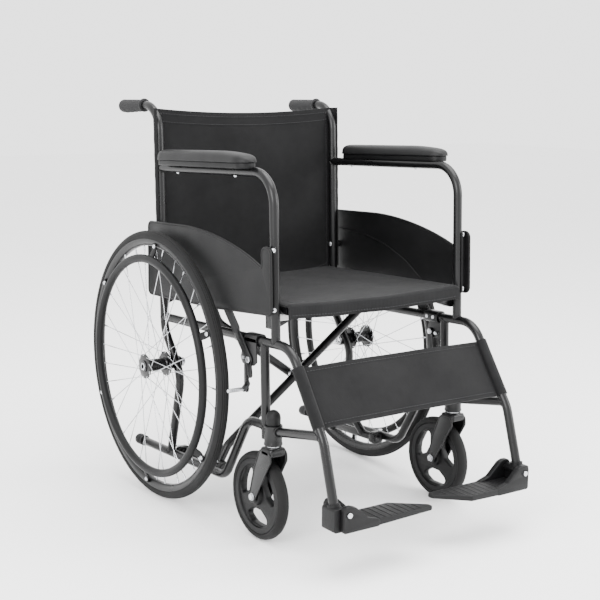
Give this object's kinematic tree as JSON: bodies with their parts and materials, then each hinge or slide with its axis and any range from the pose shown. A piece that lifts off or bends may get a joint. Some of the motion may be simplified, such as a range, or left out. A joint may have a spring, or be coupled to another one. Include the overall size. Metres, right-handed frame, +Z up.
{
  "type": "manual wheelchair",
  "caption": "Folding manual wheelchair: tubular side frames on a cross brace, spoked rear wheels with hand rims, swivel casters, sling seat and back, flip-up footplates.",
  "frame": {"origin": "on the floor, under the middle of the chair's bounding box", "axes": "+X towards the occupant's left, +Y towards the back of the chair, +Z up"},
  "size_m": [0.636, 0.9468, 0.8846],
  "materials": {
    "frame_paint": "satin black powder coat",
    "black_plastic": "matt moulded black",
    "grip_rubber": "matt",
    "tyre_rubber": "matt",
    "black_cloth": "coated woven nylon",
    "plated_steel": "bright zinc plate",
    "white_nylon": "satin"
  },
  "bodies": {
    "right_frame": {"right_back_cane": "frame_paint", "right_arm_tube": "frame_paint", "right_top_rail": "frame_paint", "right_lower_rail": "frame_paint", "right_front_post": "frame_paint", "right_push_grip": "grip_rubber", "right_arm_pad": "black_plastic", "right_skirt_guard": "black_plastic", "right_tip_cap": "grip_rubber", "right_seat_guide_front": "white_nylon", "right_seat_guide_rear": "white_nylon", "right_brake_bracket": "frame_paint", "right_wheel_axle": "plated_steel", "right_caster_cap": "black_plastic", "right_footplate_clamp": "black_plastic", "right_footplate_pin": "plated_steel", "back_sling": "black_cloth", "calf_strap": "black_cloth"},
    "right_wheel": {"right_tyre": "tyre_rubber", "right_wheel_rim": "frame_paint", "right_hub_spokes": "plated_steel", "right_hand_rim": "black_plastic"},
    "right_caster_swivel": {"right_caster_fork": "frame_paint", "right_caster_axle": "plated_steel"},
    "right_caster_roller": {"right_caster_wheel": "black_plastic", "right_caster_tyre": "tyre_rubber"},
    "right_footplate_flap": {"right_footplate": "black_plastic"},
    "right_lever": {"right_brake_lever": "frame_paint"},
    "right_shoe": {"right_brake_shoe": "plated_steel"},
    "left_frame": {"left_back_cane": "frame_paint", "left_arm_tube": "frame_paint", "left_top_rail": "frame_paint", "left_lower_rail": "frame_paint", "left_front_post": "frame_paint", "left_push_grip": "grip_rubber", "left_arm_pad": "black_plastic", "left_skirt_guard": "black_plastic", "left_tip_cap": "grip_rubber", "left_seat_guide_front": "white_nylon", "left_seat_guide_rear": "white_nylon", "left_brake_bracket": "frame_paint", "left_wheel_axle": "plated_steel", "left_caster_cap": "black_plastic", "left_footplate_clamp": "black_plastic", "left_footplate_pin": "plated_steel"},
    "left_wheel": {"left_tyre": "tyre_rubber", "left_wheel_rim": "frame_paint", "left_hub_spokes": "plated_steel", "left_hand_rim": "black_plastic"},
    "left_caster_swivel": {"left_caster_fork": "frame_paint", "left_caster_axle": "plated_steel"},
    "left_caster_roller": {"left_caster_wheel": "black_plastic", "left_caster_tyre": "tyre_rubber"},
    "left_footplate_flap": {"left_footplate": "black_plastic"},
    "left_lever": {"left_brake_lever": "frame_paint"},
    "left_shoe": {"left_brake_shoe": "plated_steel"},
    "brace_a": {"brace_a": "frame_paint", "brace_pivot_bolt": "plated_steel", "seat_sling": "black_cloth"},
    "brace_b": {"brace_b": "frame_paint"}
  },
  "joints": [
    {"name": "fold", "type": "hinge", "parent": "right_frame", "child": "brace_a", "pos_m": [-0.213, 0.09028, 0.09004], "axis": [0, -0.9993, 0.0384], "range_deg": [0, 40.7], "deforming": ["seat_sling", "back_sling", "calf_strap"]},
    {"name": "fold_crossing", "type": "hinge", "parent": "brace_a", "child": "brace_b", "pos_m": [0, 0.04715, 0.26982], "axis": [0, -0.9993, 0.0384], "range_deg": [-81.5, 0]},
    {"name": "fold_left_side", "type": "hinge", "parent": "brace_b", "child": "left_frame", "pos_m": [0.213, 0.09028, 0.09004], "axis": [0, -0.9993, 0.0384], "range_deg": [0, 40.8]},
    {"name": "right_wheel_spin", "type": "hinge", "parent": "right_frame", "child": "right_wheel", "pos_m": [-0.285, 0.1734, 0.3], "axis": [1, 0, 0], "continuous": true},
    {"name": "right_caster_turn", "type": "hinge", "parent": "right_frame", "child": "right_caster_swivel", "pos_m": [-0.24, -0.2316, 0.2], "axis": [0, 0, 1], "continuous": true},
    {"name": "right_caster_spin", "type": "hinge", "parent": "right_caster_swivel", "child": "right_caster_roller", "pos_m": [-0.24, -0.1856, 0.092], "axis": [1, 0, 0], "continuous": true},
    {"name": "right_footplate_flip", "type": "hinge", "parent": "right_frame", "child": "right_footplate_flap", "pos_m": [-0.228, -0.4356, 0.132], "axis": [0, -1, 0], "range_deg": [0, 95]},
    {"name": "right_brake_push", "type": "hinge", "parent": "right_frame", "child": "right_lever", "pos_m": [-0.254, -0.16205, 0.37293], "axis": [1, 0, 0], "range_deg": [0, 50]},
    {"name": "right_brake_swing", "type": "hinge", "parent": "right_frame", "child": "right_shoe", "pos_m": [-0.247, -0.14199, 0.37416], "axis": [1, 0, 0], "range_deg": [0, 7.6]},
    {"name": "left_wheel_spin", "type": "hinge", "parent": "left_frame", "child": "left_wheel", "pos_m": [0.285, 0.1734, 0.3], "axis": [1, 0, 0], "continuous": true},
    {"name": "left_caster_turn", "type": "hinge", "parent": "left_frame", "child": "left_caster_swivel", "pos_m": [0.24, -0.2316, 0.2], "axis": [0, 0, 1], "continuous": true},
    {"name": "left_caster_spin", "type": "hinge", "parent": "left_caster_swivel", "child": "left_caster_roller", "pos_m": [0.24, -0.1856, 0.092], "axis": [1, 0, 0], "continuous": true},
    {"name": "left_footplate_flip", "type": "hinge", "parent": "left_frame", "child": "left_footplate_flap", "pos_m": [0.228, -0.4356, 0.132], "axis": [0, 1, 0], "range_deg": [0, 95]},
    {"name": "left_brake_push", "type": "hinge", "parent": "left_frame", "child": "left_lever", "pos_m": [0.254, -0.16205, 0.37293], "axis": [1, 0, 0], "range_deg": [0, 50]},
    {"name": "left_brake_swing", "type": "hinge", "parent": "left_frame", "child": "left_shoe", "pos_m": [0.247, -0.14199, 0.37416], "axis": [1, 0, 0], "range_deg": [0, 7.6]}
  ],
  "couplings": [
    {"joint": "fold_crossing", "follows": "fold", "ratio": -2},
    {"joint": "fold_left_side", "follows": "fold", "ratio": 1},
    {"joint": "right_footplate_flip", "follows": "fold", "ratio": 2.334},
    {"joint": "right_brake_swing", "follows": "right_brake_push", "ratio": 0.15},
    {"joint": "left_footplate_flip", "follows": "fold", "ratio": 2.334},
    {"joint": "left_brake_swing", "follows": "left_brake_push", "ratio": 0.15}
  ]
}
